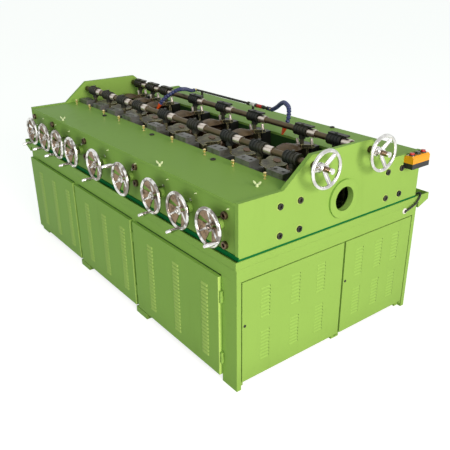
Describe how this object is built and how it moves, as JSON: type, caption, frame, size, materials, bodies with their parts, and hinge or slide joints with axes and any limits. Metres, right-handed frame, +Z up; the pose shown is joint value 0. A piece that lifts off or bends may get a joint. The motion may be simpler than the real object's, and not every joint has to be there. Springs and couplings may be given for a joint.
{
  "type": "roller straightening machine",
  "caption": "Roller straightening machine: a green cabinet with doors and a drip tray carries a bed with tilted hourglass rolls, line shafts and chrome handwheels.",
  "frame": {"origin": "on the floor under the middle of the machine's overall box", "axes": "+X towards the infeed end with the two end handwheels, -Y towards the row of handwheels, +Z up"},
  "size_m": [2.822, 1.5954, 1.212],
  "materials": {
    "green_paint": "satin lime green paint",
    "trough_paint": "dark oily green paint",
    "ground_steel": "ground steel with an oil film",
    "oiled_iron": "oily painted casting",
    "black_iron": "blackened casting",
    "shaft_steel": "oily turned steel",
    "roll_steel": "brown oily hardened steel",
    "chrome": "polished chrome plating",
    "black_plastic": "matt black moulding",
    "yellow_plastic": "matt yellow moulding",
    "button_plastic": "glossy red moulding",
    "pipe_iron": "dark painted pipe",
    "hose_plastic": "blue moulded segments",
    "nozzle_plastic": "orange moulding"
  },
  "bodies": {
    "frame": {"base_posts": "green_paint", "base_rails": "green_paint", "fixed_covers": "green_paint", "drip_tray": "green_paint", "near_end_plate": "green_paint", "far_end_plate": "green_paint", "front_wall": "green_paint", "back_wall": "green_paint", "front_table": "green_paint", "back_table": "green_paint", "trough_walls": "trough_paint", "ram_guides": "ground_steel", "roll_yokes": "oiled_iron", "worm_boxes": "black_iron", "end_rings": "green_paint", "spindle_bosses": "green_paint", "control_box_base": "black_plastic", "control_box_cover": "yellow_plastic", "control_buttons": "button_plastic", "coolant_pipe": "pipe_iron", "coolant_hoses": "hose_plastic", "coolant_nozzles": "nozzle_plastic"},
    "door_front_1": {"door_front_1": "green_paint"},
    "door_front_2": {"door_front_2": "green_paint"},
    "door_front_3": {"door_front_3": "green_paint"},
    "door_end_1": {"door_end_1": "green_paint"},
    "door_end_2": {"door_end_2": "green_paint"},
    "front_line": {"front_line_shaft": "shaft_steel", "front_end_handwheel": "chrome"},
    "back_line": {"back_line_shaft": "shaft_steel", "back_end_handwheel": "chrome"},
    "handwheel_1": {"handwheel_1": "chrome"},
    "handwheel_2": {"handwheel_2": "chrome"},
    "handwheel_3": {"handwheel_3": "chrome"},
    "handwheel_4": {"handwheel_4": "chrome"},
    "handwheel_5": {"handwheel_5": "chrome"},
    "handwheel_6": {"handwheel_6": "chrome"},
    "handwheel_7": {"handwheel_7": "chrome"},
    "handwheel_8": {"handwheel_8": "chrome"},
    "handwheel_9": {"handwheel_9": "chrome"},
    "roll_front_1": {"roll_front_1": "roll_steel"},
    "roll_front_2": {"roll_front_2": "roll_steel"},
    "roll_front_3": {"roll_front_3": "roll_steel"},
    "roll_front_4": {"roll_front_4": "roll_steel"},
    "roll_front_5": {"roll_front_5": "roll_steel"},
    "roll_front_6": {"roll_front_6": "roll_steel"},
    "roll_front_7": {"roll_front_7": "roll_steel"},
    "roll_front_8": {"roll_front_8": "roll_steel"},
    "roll_front_9": {"roll_front_9": "roll_steel"},
    "roll_back_1": {"roll_back_1": "roll_steel"},
    "roll_back_2": {"roll_back_2": "roll_steel"},
    "roll_back_3": {"roll_back_3": "roll_steel"},
    "roll_back_4": {"roll_back_4": "roll_steel"},
    "roll_back_5": {"roll_back_5": "roll_steel"},
    "roll_back_6": {"roll_back_6": "roll_steel"},
    "roll_back_7": {"roll_back_7": "roll_steel"},
    "roll_back_8": {"roll_back_8": "roll_steel"}
  },
  "joints": [
    {"name": "door_front_1_swing", "type": "hinge", "parent": "frame", "child": "door_front_1", "pos_m": [-0.498, -0.67125, 0.3], "axis": [0, 0, 1], "range_deg": [0, 110]},
    {"name": "door_front_2_swing", "type": "hinge", "parent": "frame", "child": "door_front_2", "pos_m": [0.31, -0.67125, 0.3], "axis": [0, 0, 1], "range_deg": [0, 110]},
    {"name": "door_front_3_swing", "type": "hinge", "parent": "frame", "child": "door_front_3", "pos_m": [1.18, -0.67125, 0.3], "axis": [0, 0, 1], "range_deg": [0, 110]},
    {"name": "door_end_1_swing", "type": "hinge", "parent": "frame", "child": "door_end_1", "pos_m": [1.279, 0.06675, 0.3], "axis": [0, 0, 1], "range_deg": [0, 100]},
    {"name": "door_end_2_swing", "type": "hinge", "parent": "frame", "child": "door_end_2", "pos_m": [1.279, 0.64375, 0.3], "axis": [0, 0, 1], "range_deg": [0, 100]},
    {"name": "front_line_turn", "type": "hinge", "parent": "frame", "child": "front_line", "pos_m": [1.371, -0.19225, 1.112], "axis": [1, 0, 0], "continuous": true},
    {"name": "back_line_turn", "type": "hinge", "parent": "frame", "child": "back_line", "pos_m": [1.371, 0.21775, 1.112], "axis": [1, 0, 0], "continuous": true},
    {"name": "handwheel_1_turn", "type": "hinge", "parent": "frame", "child": "handwheel_1", "pos_m": [-1.059, -0.71625, 0.885], "axis": [0, -1, 0], "continuous": true},
    {"name": "handwheel_2_turn", "type": "hinge", "parent": "frame", "child": "handwheel_2", "pos_m": [-0.831, -0.71625, 0.885], "axis": [0, -1, 0], "continuous": true},
    {"name": "handwheel_3_turn", "type": "hinge", "parent": "frame", "child": "handwheel_3", "pos_m": [-0.603, -0.71625, 0.885], "axis": [0, -1, 0], "continuous": true},
    {"name": "handwheel_4_turn", "type": "hinge", "parent": "frame", "child": "handwheel_4", "pos_m": [-0.375, -0.71625, 0.885], "axis": [0, -1, 0], "continuous": true},
    {"name": "handwheel_5_turn", "type": "hinge", "parent": "frame", "child": "handwheel_5", "pos_m": [-0.039, -0.71625, 0.885], "axis": [0, -1, 0], "continuous": true},
    {"name": "handwheel_6_turn", "type": "hinge", "parent": "frame", "child": "handwheel_6", "pos_m": [0.297, -0.71625, 0.885], "axis": [0, -1, 0], "continuous": true},
    {"name": "handwheel_7_turn", "type": "hinge", "parent": "frame", "child": "handwheel_7", "pos_m": [0.633, -0.71625, 0.885], "axis": [0, -1, 0], "continuous": true},
    {"name": "handwheel_8_turn", "type": "hinge", "parent": "frame", "child": "handwheel_8", "pos_m": [0.889, -0.71625, 0.885], "axis": [0, -1, 0], "continuous": true},
    {"name": "handwheel_9_turn", "type": "hinge", "parent": "frame", "child": "handwheel_9", "pos_m": [1.145, -0.71625, 0.885], "axis": [0, -1, 0], "continuous": true},
    {"name": "roll_front_1_spin", "type": "hinge", "parent": "frame", "child": "roll_front_1", "pos_m": [-1.059, -0.09125, 0.885], "axis": [0.2079, 0, 0.9781], "continuous": true},
    {"name": "roll_front_2_spin", "type": "hinge", "parent": "frame", "child": "roll_front_2", "pos_m": [-0.831, -0.09125, 0.885], "axis": [0.2079, 0, 0.9781], "continuous": true},
    {"name": "roll_front_3_spin", "type": "hinge", "parent": "frame", "child": "roll_front_3", "pos_m": [-0.603, -0.09125, 0.885], "axis": [0.2079, 0, 0.9781], "continuous": true},
    {"name": "roll_front_4_spin", "type": "hinge", "parent": "frame", "child": "roll_front_4", "pos_m": [-0.375, -0.09125, 0.885], "axis": [0.2079, 0, 0.9781], "continuous": true},
    {"name": "roll_front_5_spin", "type": "hinge", "parent": "frame", "child": "roll_front_5", "pos_m": [-0.039, -0.09125, 0.885], "axis": [0.2079, 0, 0.9781], "continuous": true},
    {"name": "roll_front_6_spin", "type": "hinge", "parent": "frame", "child": "roll_front_6", "pos_m": [0.297, -0.09125, 0.885], "axis": [0.2079, 0, 0.9781], "continuous": true},
    {"name": "roll_front_7_spin", "type": "hinge", "parent": "frame", "child": "roll_front_7", "pos_m": [0.633, -0.09125, 0.885], "axis": [0.2079, 0, 0.9781], "continuous": true},
    {"name": "roll_front_8_spin", "type": "hinge", "parent": "frame", "child": "roll_front_8", "pos_m": [0.889, -0.09125, 0.885], "axis": [0.2079, 0, 0.9781], "continuous": true},
    {"name": "roll_front_9_spin", "type": "hinge", "parent": "frame", "child": "roll_front_9", "pos_m": [1.145, -0.09125, 0.885], "axis": [0.2079, 0, 0.9781], "continuous": true},
    {"name": "roll_back_1_spin", "type": "hinge", "parent": "frame", "child": "roll_back_1", "pos_m": [-1.081, 0.11675, 0.885], "axis": [-0.2079, 0, 0.9781], "continuous": true},
    {"name": "roll_back_2_spin", "type": "hinge", "parent": "frame", "child": "roll_back_2", "pos_m": [-0.885, 0.11675, 0.885], "axis": [-0.2079, 0, 0.9781], "continuous": true},
    {"name": "roll_back_3_spin", "type": "hinge", "parent": "frame", "child": "roll_back_3", "pos_m": [-0.689, 0.11675, 0.885], "axis": [-0.2079, 0, 0.9781], "continuous": true},
    {"name": "roll_back_4_spin", "type": "hinge", "parent": "frame", "child": "roll_back_4", "pos_m": [-0.297, 0.11675, 0.885], "axis": [-0.2079, 0, 0.9781], "continuous": true},
    {"name": "roll_back_5_spin", "type": "hinge", "parent": "frame", "child": "roll_back_5", "pos_m": [0.033, 0.11675, 0.885], "axis": [-0.2079, 0, 0.9781], "continuous": true},
    {"name": "roll_back_6_spin", "type": "hinge", "parent": "frame", "child": "roll_back_6", "pos_m": [0.363, 0.11675, 0.885], "axis": [-0.2079, 0, 0.9781], "continuous": true},
    {"name": "roll_back_7_spin", "type": "hinge", "parent": "frame", "child": "roll_back_7", "pos_m": [0.791, 0.11675, 0.885], "axis": [-0.2079, 0, 0.9781], "continuous": true},
    {"name": "roll_back_8_spin", "type": "hinge", "parent": "frame", "child": "roll_back_8", "pos_m": [1.051, 0.11675, 0.885], "axis": [-0.2079, 0, 0.9781], "continuous": true}
  ]
}
